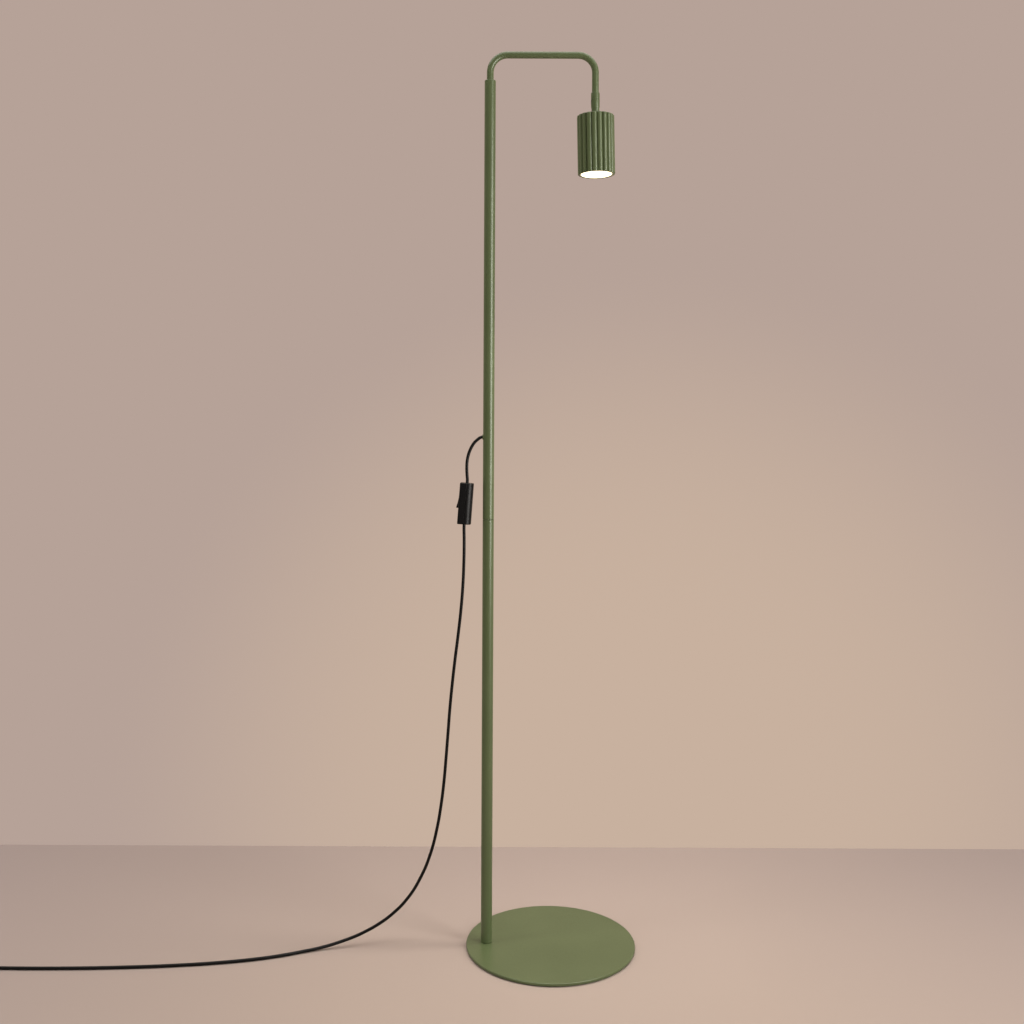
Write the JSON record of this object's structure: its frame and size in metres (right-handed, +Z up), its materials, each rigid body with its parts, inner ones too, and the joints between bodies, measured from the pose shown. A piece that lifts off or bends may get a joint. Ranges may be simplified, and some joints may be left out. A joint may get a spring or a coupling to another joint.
{
  "type": "adjustable arm floor lamp",
  "caption": "Slim olive floor lamp: off-centre pole on a round base, arched arm that swivels, fluted spot head on a knuckle, and a corded in-line switch.",
  "frame": {"origin": "centre of the round base's underside, on the floor", "axes": "+Z up along the pole, +X from the pole towards the hanging head, +Y completes the right-handed frame"},
  "size_m": [1.0852, 0.374, 1.436],
  "materials": {
    "olive_paint": "satin olive green powder coat",
    "olive_plastic": "moulded plastic in the pole's olive green",
    "zinc_steel": "zinc plated steel",
    "black_steel": "blackened steel",
    "felt": "dark grey felt",
    "nylon": "natural nylon",
    "lead_sheath": "white insulated lead",
    "holder_ceramic": "unglazed white ceramic",
    "bulb_white": "white lamp body",
    "lamp_glow": "frosted lamp front, lit",
    "switch_black": "fine-textured black plastic",
    "rocker_black": "smooth black plastic",
    "contact_brass": "plain brass",
    "cord_black": "matt black PVC flex",
    "plug_black": "moulded black plastic",
    "nickel_pin": "nickel plated brass"
  },
  "bodies": {
    "stand": {"base_pad": "felt", "base_plate": "olive_paint", "base_screw": "zinc_steel", "pole_foot_insert": "zinc_steel", "lower_tube": "olive_paint", "lower_joint_insert": "zinc_steel", "joint_stud": "zinc_steel", "upper_joint_insert": "zinc_steel", "upper_tube": "olive_paint", "cord_grommet": "olive_plastic", "cord_anchor": "nylon", "pole_lead": "lead_sheath", "pole_top_bush": "nylon", "thrust_washer": "nylon", "cord_upper": "cord_black", "switch_case_front": "switch_black", "switch_case_back": "switch_black", "case_screw_1": "black_steel", "case_screw_2": "black_steel", "rocker_pin": "zinc_steel", "switch_frame": "nylon", "contact_blade": "contact_brass", "switch_terminal_1": "contact_brass", "switch_terminal_2": "contact_brass", "cord_grip_1": "switch_black", "cord_grip_2": "switch_black", "cord_run": "cord_black", "cord_coil": "cord_black", "cord_tail": "cord_black", "plug_relief": "cord_black", "plug_body": "plug_black", "plug_pin_1": "nickel_pin", "plug_pin_2": "nickel_pin"},
    "arm": {"arm_tube": "olive_paint", "arm_lead": "lead_sheath", "arm_lock_nut": "zinc_steel", "wave_washer": "zinc_steel"},
    "head_swivel": {"knuckle_upper": "olive_paint", "friction_disc": "nylon"},
    "head": {"knuckle_lower": "olive_paint", "knuckle_screw": "black_steel", "knuckle_nut": "black_steel", "head_cap": "olive_paint", "shade": "olive_paint", "holder_bracket": "zinc_steel", "shank_nut": "zinc_steel", "head_lead": "lead_sheath", "terminal_block": "nylon", "lamp_holder": "holder_ceramic", "holder_lead_1": "lead_sheath", "holder_lead_2": "lead_sheath", "holder_screw_1": "zinc_steel", "holder_screw_2": "zinc_steel", "bulb_pin_1": "zinc_steel", "bulb_pin_2": "zinc_steel", "bulb_body": "bulb_white", "bulb_lens": "lamp_glow"},
    "rocker": {"switch_rocker": "rocker_black"}
  },
  "joints": [
    {"name": "arm_swivel", "type": "hinge", "parent": "stand", "child": "arm", "pos_m": [-0.103, 0, 1.3888], "axis": [0, 0, 1], "range_deg": [-165, 165]},
    {"name": "head_turn", "type": "hinge", "parent": "arm", "child": "head_swivel", "pos_m": [0.066, 0, 1.3628], "axis": [0, 0, 1], "range_deg": [-165, 165]},
    {"name": "head_tilt", "type": "hinge", "parent": "head_swivel", "child": "head", "pos_m": [0.066, 0, 1.353], "axis": [0, 1, 0], "range_deg": [-48.8, 51.2]},
    {"name": "rocker_press", "type": "hinge", "parent": "stand", "child": "rocker", "pos_m": [-0.14674, 0, 0.71341], "axis": [0, 1, 0], "range_deg": [-18, 0]}
  ]
}
